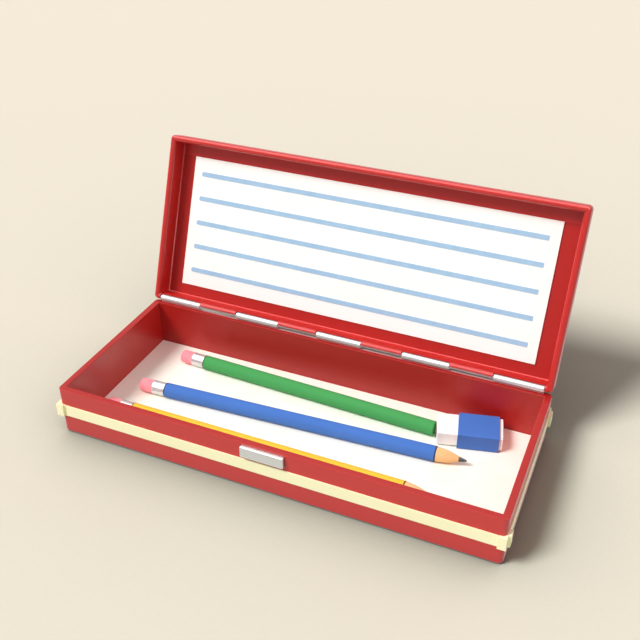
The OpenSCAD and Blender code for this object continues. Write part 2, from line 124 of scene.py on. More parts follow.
@dataclass(frozen=True)
class Finish:
    """A surface: two close colours in soft patches, a gloss, and a grain that breaks both up.

    The grain's value runs along X of the finish's own axes, which turn_deg turns from the frame's.
    A finish's colours are sRGB hex values, and its sizes are millimetres on the object.
    """

    name: str
    light: str
    dark: str
    roughness: float
    grain: Grain = Grain.FLOW
    roughness_swing: float = 0.04
    metallic: float = 0.0
    specular: float = 0.5
    patch_mm: float = 25.0
    grain_mm: float = 0.6
    grain_length: float = 1.0
    grain_tint: float = 0.12
    turn_deg: float = 0.0
    bump_mm: float = 0.01
    sheen: float = 0.0

    def coords(self, tree: bpy.types.NodeTree) -> Socket:
        """Object coordinates on the finish's own axes, drawn out along the grain.

        Args:
            tree: the material's node tree.

        Returns:
            The socket with the coordinates.
        """
        where = add_node(tree, "ShaderNodeTexCoord")
        place = add_node(
            tree, "ShaderNodeMapping",
            {"Vector": where.outputs["Object"], "Rotation": (0.0, 0.0, math.radians(self.turn_deg)),
             "Scale": (self.grain_length, 1.0, 1.0)},
            vector_type="TEXTURE",
        )
        return place.outputs["Vector"]

    def patches(self, tree: bpy.types.NodeTree, coords: Socket) -> Socket:
        """Soft patches, from 0 for the dark colour to 1 for the light one.

        Args:
            tree: the material's node tree.
            coords: the finish's own coordinates.

        Returns:
            The socket with the value.
        """
        noise = add_node(
            tree, "ShaderNodeTexNoise",
            {"Vector": coords, "Scale": 1 / (self.patch_mm * MM), "Detail": 2.0},
        )
        spread = add_node(
            tree, "ShaderNodeMapRange",
            {"Value": noise.outputs["Fac"], "From Min": 0.3, "From Max": 0.7},
        )
        return spread.outputs["Result"]

    def grain_value(self, tree: bpy.types.NodeTree, coords: Socket) -> Socket:
        """The fine pattern, mostly between 0.25 and 0.75.

        Args:
            tree: the material's node tree.
            coords: the finish's own coordinates.

        Returns:
            The socket that roughness, tint and bump share.
        """
        scale = 1 / (self.grain_mm * MM)
        if self.grain is Grain.SPECKS:
            grit = add_node(tree, "ShaderNodeTexVoronoi", {"Vector": coords, "Scale": scale})
            sized = add_node(
                tree, "ShaderNodeMapRange",
                {"Value": grit.outputs["Distance"], "From Max": 0.8, "To Min": 0.2, "To Max": 0.8},
            )
            return sized.outputs["Result"]
        if self.grain is Grain.STREAKS:
            rings = add_node(
                tree, "ShaderNodeTexWave",
                {"Vector": coords, "Scale": scale / WAVE_RADIANS, "Distortion": 5.0, "Detail": 3.0,
                 "Detail Scale": 2.5},
                bands_direction="Y",
            )
            return rings.outputs["Fac"]
        detail = {Grain.FLOW: 1.0, Grain.BRUSHED: 4.0, Grain.FIBRES: 5.0}[self.grain]
        twist = 1.6 if self.grain is Grain.FIBRES else 0.0
        noise = add_node(
            tree, "ShaderNodeTexNoise",
            {"Vector": coords, "Scale": scale, "Detail": detail, "Distortion": twist},
        )
        return noise.outputs["Fac"]

    def build(self) -> bpy.types.Material:
        """Makes the material.

        Returns:
            The finished material.
        """
        material = bpy.data.materials.new(self.name)
        material.use_nodes = True
        tree = material.node_tree
        shader = tree.nodes["Principled BSDF"]
        coords = self.coords(tree)
        grain = self.grain_value(tree, coords)
        tint = add_node(
            tree, "ShaderNodeMix", {0: self.grain_tint, 2: self.patches(tree, coords), 3: grain},
            data_type="FLOAT",
        )
        colour = add_node(
            tree, "ShaderNodeMix",
            {0: tint.outputs[0], 6: linear(self.dark), 7: linear(self.light)}, data_type="RGBA",
        )
        rough = add_node(
            tree, "ShaderNodeMapRange",
            {"Value": grain, "From Min": 0.25, "From Max": 0.75,
             "To Min": self.roughness - self.roughness_swing,
             "To Max": self.roughness + self.roughness_swing},
        )
        bump = add_node(
            tree, "ShaderNodeBump",
            {"Height": grain, "Strength": 1.0, "Distance": self.bump_mm * MM},
        )
        tree.links.new(colour.outputs[2], shader.inputs["Base Color"])
        tree.links.new(rough.outputs["Result"], shader.inputs["Roughness"])
        tree.links.new(bump.outputs["Normal"], shader.inputs["Normal"])
        shader.inputs["Metallic"].default_value = self.metallic
        shader.inputs["Specular IOR Level"].default_value = self.specular
        shader.inputs["Sheen Weight"].default_value = self.sheen
        return material


# Stoved enamel on tinplate: sprayed gloss paint that flowed out to a faint orange peel
TIN_RED = Finish(
    "stoved_enamel_red", "c5211b", "c01e19", 0.34, patch_mm=60, grain_mm=1.4, bump_mm=0.002,
    specular=0.8,
)
# A darker, less glossy copy of the same enamel, painted shade on the tray's rim and back wall and the
# lid's panel
SHADED_RED = Finish(
    "stoved_enamel_red_shaded", "ad201b", "a81e19", 0.42, patch_mm=60, grain_mm=1.4, bump_mm=0.002,
    specular=0.55,
)
# Satin enamel on a pressed strip: flat cream with a slight tooth
BAND_CREAM = Finish(
    "satin_enamel_cream", "fefbd2", "fcf7c9", 0.42, patch_mm=18, grain_mm=0.5, bump_mm=0.004,
    specular=0.5,
)
# Satin nickel plate over brushed steel: fine scratches along the button
SATIN_NICKEL = Finish(
    "satin_nickel", "e3e3df", "dcdcd8", 0.24, Grain.BRUSHED, metallic=0.85, patch_mm=9, grain_mm=0.25,
    grain_length=18, bump_mm=0.0001,
)
# Bright nickel plate on rolled steel: pale and glossy, with the drawing lines of the strip
BRIGHT_NICKEL = Finish(
    "bright_nickel", "dcdcdc", "d4d4d5", 0.2, Grain.BRUSHED, metallic=0.42, patch_mm=12, grain_mm=0.3,
    grain_length=20, bump_mm=0.0001, roughness_swing=0.02,
)
# Plain rolled spring steel: dull grey with rolling lines
SPRING_STEEL = Finish(
    "rolled_spring_steel", "a4a4a6", "8f8f92", 0.4, Grain.BRUSHED, metallic=1.0, patch_mm=8,
    grain_mm=0.3, grain_length=12, bump_mm=0.002,
)
# Nickel-plated sintered magnet: dark and slightly pitted
MAGNET = Finish(
    "plated_sintered_magnet", "6c6c70", "5b5b60", 0.42, Grain.SPECKS, metallic=1.0, patch_mm=3,
    grain_mm=0.3, bump_mm=0.01,
)
# Smooth white card: matt, with soft pulp fibres under the calendered face
LINER_CARD = Finish(
    "calendered_card", "fefdf2", "fbf9ea", 0.8, Grain.FIBRES, patch_mm=14, grain_mm=0.45, bump_mm=0.006,
    specular=0.25,
)
# Index card: a whiter, smoother sheet
LABEL_CARD = Finish(
    "index_card", "fefefc", "fbfbf7", 0.7, Grain.FIBRES, patch_mm=20, grain_mm=0.4, bump_mm=0.004,
    specular=0.25,
)
# Raised print: a line of pale blue resin ink that was melted on, with a soft gloss
RULE_INK = Finish(
    "raised_print_ink", "a9c9e4", "9fc1de", 0.5, patch_mm=6, grain_mm=0.4, bump_mm=0.006, specular=0.35,
)
# Graphite and clay core, fired: dark grey with a soft metallic sheen
GRAPHITE = Finish(
    "fired_graphite", "48474c", "343338", 0.42, Grain.SPECKS, metallic=0.2, patch_mm=1.0, grain_mm=0.2,
    bump_mm=0.008,
)
# Drawn aluminium ferrule: bright, with faint draw lines along the tube
DRAWN_ALUMINIUM = Finish(
    "drawn_aluminium", "e0e0e1", "d9dadb", 0.2, Grain.BRUSHED, metallic=0.48, patch_mm=5, grain_mm=0.25,
    grain_length=14, bump_mm=0.0001, roughness_swing=0.02,
)
# Pink factice rubber: matt and a little grainy from the pumice in it
PINK_RUBBER = Finish(
    "pumice_rubber_pink", "fea0a8", "f9939c", 0.9, Grain.SPECKS, patch_mm=2.2, grain_mm=0.35,
    bump_mm=0.02, specular=0.2, grain_tint=0.3, sheen=0.1,
)
# White vinyl rubber: smooth and slightly waxy, with a dusting of its own crumbs
WHITE_RUBBER = Finish(
    "white_vinyl_rubber", "fdfcf9", "f8f6f1", 0.62, Grain.SPECKS, patch_mm=6, grain_mm=0.6, bump_mm=0.008,
    specular=0.25,
)


@dataclass(frozen=True)
class Print:
    """Coated card printed in one colour, which lies at an angle in the tray."""

    turn_deg: float

    def finish(self) -> Finish:
        """Blue print under a satin aqueous coat: the card's fibres only just show through."""
        return Finish(
            "coated_card_blue", "4774c2", "4370bd", 0.55, Grain.FIBRES, patch_mm=12, grain_mm=0.4,
            turn_deg=self.turn_deg, bump_mm=0.003, specular=0.3,
        )


@dataclass(frozen=True)
class PencilPaint:
    """The lacquer of one pencil: light and dark on the barrel, with painted shade on its end lips.

    A pencil with a flat end also has a paler copy of its lacquer there, painted light on an end in shade.
    """

    colour: str
    light: str
    dark: str
    # lip: the darker colour of the end lips, painted shade
    lip: str
    turn_deg: float
    # thin: the paler colour of a flat end, painted light
    thin: str = ""

    def barrel(self) -> Finish:
        """Nitrocellulose lacquer in several dipped coats: satin, with faint waves along the barrel."""
        return Finish(
            f"dipped_lacquer_{self.colour}", self.light, self.dark, 0.62, patch_mm=5, grain_mm=1.6,
            grain_length=8, turn_deg=self.turn_deg, bump_mm=0.004, specular=0.12,
        )

    def edge(self) -> Finish:
        """A darker copy of the same lacquer on the barrel's end lips: painted shade where the barrel
        meets the ferrule and the wood.
        """
        return Finish(
            f"gathered_lacquer_{self.colour}", self.lip, self.lip, 0.5, patch_mm=1.5, grain_mm=0.4,
            turn_deg=self.turn_deg, bump_mm=0.004, specular=0.22,
        )

    def cap(self) -> Finish:
        """A paler copy of the same lacquer on a flat end: painted light on an end that lies in the rubber
        block's shade.
        """
        return Finish(
            f"thin_lacquer_{self.colour}", self.thin, self.thin, 0.62, patch_mm=2, grain_mm=0.8,
            turn_deg=self.turn_deg, bump_mm=0.004, specular=0.12,
        )

    def wood(self) -> Finish:
        """Sharpened lime wood: pale tan, with fine growth streaks along the pencil."""
        return Finish(
            f"sharpened_lime_wood_{self.colour}", "fdd09a", "eebb80", 0.75, Grain.STREAKS, patch_mm=1.2,
            grain_mm=0.9, grain_length=9, turn_deg=self.turn_deg, bump_mm=0.01, specular=0.2,
            grain_tint=0.45,
        )


# ---- making pieces ----


def card(low: Sequence[float], high: Sequence[float], width: float, segments: int = 2) -> Shape:
    """A block with all its edges softened.

    Args:
        low: lowest corner.
        high: highest corner.
        width: width of the softening.
        segments: steps of the softening.

    Returns:
        The shape.
    """
    shape = bmesh.new()
    bmesh.ops.create_cube(shape, size=1.0)
    size = Vector(high) - Vector(low)
    bmesh.ops.scale(shape, vec=size, verts=shape.verts)
    bmesh.ops.translate(shape, vec=Vector(low) + size / 2, verts=shape.verts)
    soften(shape, width, segments)
    return shape


def soften(
    shape: Shape,
    width: float,
    segments: int = 2,
    chosen: Callable[[bmesh.types.BMEdge], bool] = lambda edge: True,
    least_angle: float = 35.0,
    least_length: float = 0.0,
) -> None:
    """Bevels the sharp edges of a shape.

    Args:
        shape: what to soften.
        width: width of the bevel.
        segments: steps of the bevel.
        chosen: says of an edge whether it may be softened.
        least_angle: the angle in degrees from which an edge counts as sharp.
        least_length: the length from which an edge is softened.
    """
    shape.normal_update()
    edges = [
        edge for edge in shape.edges
        if len(edge.link_faces) == 2
        and edge.calc_face_angle() > math.radians(least_angle)
        and edge.calc_length() > least_length
        and chosen(edge)
    ]
    bevel(shape, edges, width, segments)


def bevel(shape: Shape, edges: list[bmesh.types.BMEdge], width: float, segments: int) -> None:
    """Rounds off edges of a shape; the new faces take their material from those beside them.

    Args:
        shape: what to bevel.
        edges: its edges to round off.
        width: width of the bevel.
        segments: steps of the bevel.
    """
    bmesh.ops.bevel(
        shape, geom=edges, offset=width, offset_type="OFFSET", segments=segments, profile=0.5,
        affect="EDGES", material=-1, clamp_overlap=True,
    )


def cut_across(
    shape: Shape, place: Sequence[float], facing: Sequence[float], clear: bool = True,
) -> list[bmesh.types.BMEdge]:
    """Cuts a shape with a plane.

    Args:
        shape: what to cut.
        place: a place on the plane.
        facing: the way that the plane faces.
        clear: whether what lies beyond the plane goes.

    Returns:
        The edges along the cut.
    """
    cut = bmesh.ops.bisect_plane(
        shape, geom=shape.verts[:] + shape.edges[:] + shape.faces[:], plane_co=place,
        plane_no=facing, clear_outer=clear,
    )
    return [item for item in cut["geom_cut"] if isinstance(item, bmesh.types.BMEdge)]


def run_along_x(edge: bmesh.types.BMEdge) -> float:
    """How far along X an edge runs."""
    return abs(edge.verts[0].co.x - edge.verts[1].co.x)


def stands_at(x: float) -> Callable[[bmesh.types.BMEdge], bool]:
    """Makes the test of whether the whole of an edge lies at a place along X."""
    return lambda edge: all(abs(vertex.co.x - x) < CLOSE for vertex in edge.verts)


def turned(profile: Sequence[tuple[float, float]], steps: int = 72) -> Shape:
    """Turns a profile round the X axis, as on a lathe.

    Args:
        profile: places along X and radii; a profile that ends where it starts makes a ring.
        steps: faces round the piece.

    Returns:
        The shape.
    """
    shape = bmesh.new()
    closed = profile[0] == profile[-1]
    points = [shape.verts.new((x, 0.0, radius)) for x, radius in profile[:-1 if closed else None]]
    pairs = zip(points, points[1:] + points[:1] if closed else points[1:])
    edges = [shape.edges.new(pair) for pair in pairs]
    bmesh.ops.spin(
        shape, geom=points + edges, cent=(0, 0, 0), axis=(1, 0, 0), angle=math.tau, steps=steps,
        use_merge=True, use_duplicate=False,
    )
    bmesh.ops.remove_doubles(shape, verts=shape.verts, dist=1e-4)
    return shape


def copied(node: str) -> Shape:
    """A clean copy of a CAD node's mesh, in millimetres, its flat faces whole again.

    Args:
        node: the CAD node.

    Returns:
        The shape.
    """
    shape = bmesh.new()
    shape.from_mesh(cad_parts[node].data)
    bmesh.ops.scale(shape, vec=(1 / MM,) * 3, verts=shape.verts)
    bmesh.ops.remove_doubles(shape, verts=shape.verts, dist=0.002)
    bmesh.ops.dissolve_limit(
        shape, angle_limit=math.radians(0.5), verts=shape.verts, edges=shape.edges,
    )
    return shape


def loops_of(edges: Iterable[bmesh.types.BMEdge]) -> list[list[bmesh.types.BMEdge]]:
    """Sorts edges into the closed loops that they make.

    Args:
        edges: edges that meet end to end.

    Returns:
        The loops.
    """
    left = set(edges)
    loops = []
    while left:
        loop = [left.pop()]
        for edge in loop:
            for vertex in edge.verts:
                joined = [other for other in vertex.link_edges if other in left]
                left.difference_update(joined)
                loop += joined
        loops.append(loop)
    return loops


def reach(loop: Iterable[bmesh.types.BMEdge]) -> float:
    """How far along X a loop of edges reaches."""
    return max(vertex.co.x for edge in loop for vertex in edge.verts)


def box_mm(node: str) -> tuple[Vector, Vector]:
    """A CAD node's lowest and highest corners in millimetres."""
    low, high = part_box(node)
    return Vector(low) / MM, Vector(high) / MM


@dataclass
class Bench:
    """Makes each finish once and hands the dressed pieces to the frame."""

    made: dict[str, bpy.types.Material] = field(default_factory=dict)

    def material(self, finish: Finish) -> bpy.types.Material:
        """The material of a finish, made when it is first asked for."""
        if finish.name not in self.made:
            self.made[finish.name] = finish.build()
        return self.made[finish.name]

    def hand_over(
        self,
        shape: Shape,
        name: str,
        body: str,
        finishes: Iterable[Finish],
        replaces: Sequence[str],
        place: Matrix | None = None,
    ) -> None:
        """Turns a shape in millimetres into a dressed piece that rides on its body.

        Args:
            shape: the shape, which is used up.
            name: the piece's name.
            body: the body that it rides on.
            finishes: its finishes, in the order of its faces' material numbers.
            replaces: the CAD nodes that it stands for.
            place: where it goes, in millimetres.
        """
        if place is not None:
            bmesh.ops.transform(shape, matrix=place, verts=shape.verts)
        bmesh.ops.scale(shape, vec=(MM, MM, MM), verts=shape.verts)
        bmesh.ops.recalc_face_normals(shape, faces=shape.faces)
        mesh = bpy.data.meshes.new(name)
        for finish in finishes:
            mesh.materials.append(self.material(finish))
        shape.to_mesh(mesh)
        shape.free()
        for face in mesh.polygons:
            face.use_smooth = True
        mesh.set_sharp_from_angle(angle=SMOOTH_ANGLE)
        piece = bpy.data.objects.new(name, mesh)
        bpy.context.scene.collection.objects.link(piece)
        # Broad faces stay flat where they meet a narrow softened edge
        piece.modifiers.new("broad_faces_flat", "WEIGHTED_NORMAL").keep_sharp = True
        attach(piece, body)
        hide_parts(*replaces)
        LOG.info("made %s: %d faces", name, len(mesh.polygons))


# ---- sub-assemblies ----


@dataclass
class Tray:
    """The double-walled tray with its card liner, the cream band and the four corner guards."""

    floor_z: float = 1.1
    inner_back: float = 38.9
    rim_cut: float = 23.7
    rim_top: float = 24.4
    rim_edge: float = 0.25
    rim_facing: float = 0.3
    wall_facing: float = 0.5
    card_edge: float = 0.12
    band_edge: float = 0.14
    guard_edge: float = 0.22
    bands: tuple[str, ...] = ("band_front", "band_back", "band_left", "band_right")
    guards: tuple[str, ...] = (
        "guard_front_left", "guard_front_right", "guard_back_left", "guard_back_right",
    )

    def build(self, bench: Bench) -> None:
        """Makes the shell and what is fixed to it.

        Args:
            bench: where pieces are dressed.
        """
        shape = self.shell_shape()
        for face in shape.faces:
            middle = face.calc_center_median()
            # Painted shade: the inner back wall and the flat rim take the darker copy of the enamel
            on_back_wall = (
                face.normal.y < -self.wall_facing
                and 0 < middle.y < self.inner_back
                and middle.z > self.floor_z
            )
            on_rim = face.normal.z > self.rim_facing and middle.z > self.rim_cut
            face.material_index = int(on_back_wall or on_rim)
        bench.hand_over(shape, "tray_pan", "tray", [TIN_RED, SHADED_RED], ["tray_shell"])
        self.build_liner(bench)
        self.build_bands(bench)
        self.build_guards(bench)

    def shell_shape(self) -> Shape:
        """The double-walled shell, its flat rim folded to two crisp edges.

        Returns:
            The shape.
        """
        shape = copied("tray_shell")
        loops = loops_of(cut_across(shape, (0, 0, self.rim_cut), (0, 0, 1)))
        outer, cavity_outer, cavity_inner, inner = sorted(loops, key=reach, reverse=True)
        bmesh.ops.bridge_loops(shape, edges=cavity_outer + cavity_inner)
        top: list[bmesh.types.BMEdge] = []
        for loop in (outer, inner):
            grown = bmesh.ops.extrude_edge_only(shape, edges=loop)["geom"]
            raised = [item for item in grown if isinstance(item, bmesh.types.BMVert)]
            bmesh.ops.translate(shape, vec=(0, 0, self.rim_top - self.rim_cut), verts=raised)
            top += [item for item in grown if isinstance(item, bmesh.types.BMEdge)
                    and all(vertex.co.z > self.rim_top - CLOSE for vertex in item.verts)]
        bmesh.ops.bridge_loops(shape, edges=top)
        bmesh.ops.recalc_face_normals(shape, faces=shape.faces)
        bevel(shape, top, self.rim_edge, 3)
        return shape

    def build_liner(self, bench: Bench) -> None:
        """The card on the floor, its cut edges a little crushed."""
        bench.hand_over(
            card(*box_mm("tray_liner"), self.card_edge), "liner_sheet", "tray",
            [LINER_CARD], ["tray_liner"],
        )

    def build_bands(self, bench: Bench) -> None:
        """The four strips of the band, rolled to soft edges."""
        for node in self.bands:
            bench.hand_over(
                card(*box_mm(node), self.band_edge, 3), f"{node}_strip", "tray",
                [BAND_CREAM], [node],
            )

    def build_guards(self, bench: Bench) -> None:
        """The corner guards, their outer edges rounded for the hand."""
        for node in self.guards:
            shape = copied(node)
            soften(shape, self.guard_edge, 3, least_angle=50, least_length=0.45)
            bench.hand_over(shape, f"{node}_cap", "tray", [BAND_CREAM], [node])


@dataclass
class Catch:
    """The push button and, hidden in the front wall, its carrier strip and magnets."""

    button_edge: float = 0.65
    strip_edge: float = 0.06

    def build(self, bench: Bench) -> None:
        """Makes the three pieces that slide together.

        Args:
            bench: where pieces are dressed.
        """
        self.build_button(bench)
        for node, finish, slot in (
            ("latch_carrier", SPRING_STEEL, "spring_steel"),
            ("catch_magnets", MAGNET, "magnet"),
        ):
            shape = copied(node)
            soften(shape, self.strip_edge)
            bench.hand_over(shape, f"{node}_edged", "latch", [finish], [node])

    def build_button(self, bench: Bench) -> None:
        """The button: a block whose front is rounded all round and whose back is flat.

        Args:
            bench: where pieces are dressed.
        """
        low, high = box_mm("latch_button")
        # Drawn deeper by more than the softening, so that the cut passes through straight walls
        shape = card(low, (high.x, high.y + 2 * self.button_edge, high.z), self.button_edge, 4)
        bmesh.ops.edgeloop_fill(shape, edges=cut_across(shape, (0, high.y, 0), (0, 1, 0)))
        bench.hand_over(shape, "push_button", "latch", [SATIN_NICKEL], ["latch_button"])


@dataclass
class Hinge:
    """Two leaves with rolled knuckles, and the pin through them."""

    knuckle_edge: float = 0.12
    longest_step: float = 0.5
    join_z: float = 25.0
    pin_radius: float = 0.9
    pin_edge: float = 0.2

    def build(self, bench: Bench) -> None:
        """Makes the leaves, each on its own body, and the pin.

        Args:
            bench: where pieces are dressed.
        """
        for node, body in (("tray_hinge_leaf", "tray"), ("lid_hinge_leaf", "lid")):
            shape = copied(node)
            soften(shape, self.knuckle_edge, 2, self.at_knuckle_end, least_angle=60)
            bench.hand_over(shape, f"{node}_rolled", body, [BRIGHT_NICKEL], [node])
        self.build_pin(bench)

    def at_knuckle_end(self, edge: bmesh.types.BMEdge) -> bool:
        """Whether an edge is a short one round a knuckle's end, above where the leaf joins it.

        Args:
            edge: an edge of a leaf.

        Returns:
            Whether it may be softened.
        """
        short = edge.calc_length() < self.longest_step
        above = all(vertex.co.z > self.join_z for vertex in edge.verts)
        return run_along_x(edge) < CLOSE and short and above

    def build_pin(self, bench: Bench) -> None:
        """The pin, with its two ends rounded over.

        Args:
            bench: where pieces are dressed.
        """
        low, high = box_mm("hinge_pin")
        radius = self.pin_radius
        shape = turned([(low.x, 0), (low.x, radius), (high.x, radius), (high.x, 0)], 48)
        soften(shape, self.pin_edge, 3)
        place = Matrix.Translation((0, (low.y + high.y) / 2, (low.z + high.z) / 2))
        bench.hand_over(shape, "hinge_wire", "tray", [BRIGHT_NICKEL], ["hinge_pin"], place)


@dataclass
class Lid:
    """The lid, which stands open, with its ruled label card and the hidden keeper."""

    open_deg: float = 111.44
    axis_y: float = 40.93
    axis_z: float = 26.6
    panel_from: float = 33.0
    label_half: tuple[float, float] = (91.7, 32.65)
    label_z: tuple[float, float] = (33.3, 34.1)
    label_edge: float = 0.12
    rule_x: tuple[float, float] = (-87.2, 86.8)
    rule_pitch: float = 12.24
    rule_width: float = 2.3
    rule_thick: float = 0.2
    rule_count: int = 5
    rule_round: tuple[float, float] = (1.0, 0.3)
    rule_edge: float = 0.07
    keeper_edge: float = 0.06

    def build(self, bench: Bench) -> None:
        """Makes the shell, the label with its lines, and the keeper.

        Args:
            bench: where pieces are dressed.
        """
        self.build_shell(bench)
        self.build_label(bench)
        self.build_rules(bench)
        shape = copied("lid_keeper")
        soften(shape, self.keeper_edge)
        bench.hand_over(shape, "keeper_plate", "lid", [SPRING_STEEL], ["lid_keeper"])

    def build_shell(self, bench: Bench) -> None:
        """The shell; its panel takes the darker enamel as painted shade, but the shadowed strip above the
        label keeps the lighter one as painted light.

        Args:
            bench: where pieces are dressed.
        """
        shape = copied("lid_shell")
        bmesh.ops.recalc_face_normals(shape, faces=shape.faces)
        panel = Vector((0, 0, -1))
        panel.rotate(Matrix.Rotation(math.radians(-self.open_deg), 3, "X"))
        shut = self.opened().inverted()
        under_wall = -self.label_half[1]
        strip_end = self.opened() @ Vector((0, under_wall, 0))
        along_panel = (self.opened() @ Vector((0, 1, 0, 0))).to_3d()
        cut_across(shape, strip_end, along_panel, clear=False)
        for face in shape.faces:
            middle = shut @ face.calc_center_median()
            on_panel = face.normal.dot(panel) > SQUARE_ON and middle.z > self.panel_from
            # Painted shade on the panel; the strip under the front wall, in its shadow, stays lighter as
            # painted light
            face.material_index = int(on_panel and middle.y > under_wall)
        bench.hand_over(shape, "lid_pan", "lid", [TIN_RED, SHADED_RED], ["lid_shell"])

    def opened(self) -> Matrix:
        """Turns what is drawn on the shut lid to where the lid stands open.

        Returns:
            The matrix, in millimetres.
        """
        axis = Vector((0, self.axis_y, self.axis_z))
        turn = Matrix.Rotation(math.radians(-self.open_deg), 4, "X")
        return Matrix.Translation(axis) @ turn @ Matrix.Translation(-axis)

    def build_label(self, bench: Bench) -> None:
        """The label card, glued to the lid's panel.

        Args:
            bench: where pieces are dressed.
        """
        x, y = self.label_half
        shape = card((-x, -y, self.label_z[0]), (x, y, self.label_z[1]), self.label_edge)
        bench.hand_over(
            shape, "label_sheet", "lid", [LABEL_CARD], ["label_card"], self.opened(),
        )

    def build_rules(self, bench: Bench) -> None:
        """Five raised printed lines, rounder at their left ends than at their right ones.

        Args:
            bench: where pieces are dressed.
        """
        shape = bmesh.new()
        top = self.label_z[0]
        middle = sum(self.rule_x) / 2
        for number in range(self.rule_count):
            y = (number - (self.rule_count - 1) / 2) * self.rule_pitch
            line = bmesh.ops.create_cube(shape, size=1.0)["verts"]
            size = (self.rule_x[1] - self.rule_x[0], self.rule_width, self.rule_thick)
            bmesh.ops.scale(shape, vec=size, verts=line)
            bmesh.ops.translate(shape, vec=(middle, y, top - self.rule_thick / 2), verts=line)
        for side, radius in zip((-1, 1), self.rule_round):
            soften(shape, radius, 5, lambda edge, side=side: self.is_end_corner(edge, side, middle))
        soften(shape, self.rule_edge, 2, self.is_face_edge)
        bench.hand_over(
            shape, "label_lines", "lid", [RULE_INK], ["label_rules"], self.opened(),
        )

    def is_end_corner(self, edge: bmesh.types.BMEdge, side: int, middle: float) -> bool:
        """Whether an edge is an upright corner at the lines' left (-1) or right (1) ends."""
        first, second = (vertex.co for vertex in edge.verts)
        return abs(first.z - second.z) > self.rule_thick / 2 and side * (first.x - middle) > 0

    def is_face_edge(self, edge: bmesh.types.BMEdge) -> bool:
        """Whether an edge lies round the outer face of a line."""
        return all(vertex.co.z < self.label_z[0] - self.rule_thick / 2 for vertex in edge.verts)


class PencilEnd(Enum):
    """How the far end of a pencil is finished."""

    SHARP = "sharpened to a point"
    BLUNT = "new, and closed by the lacquer"


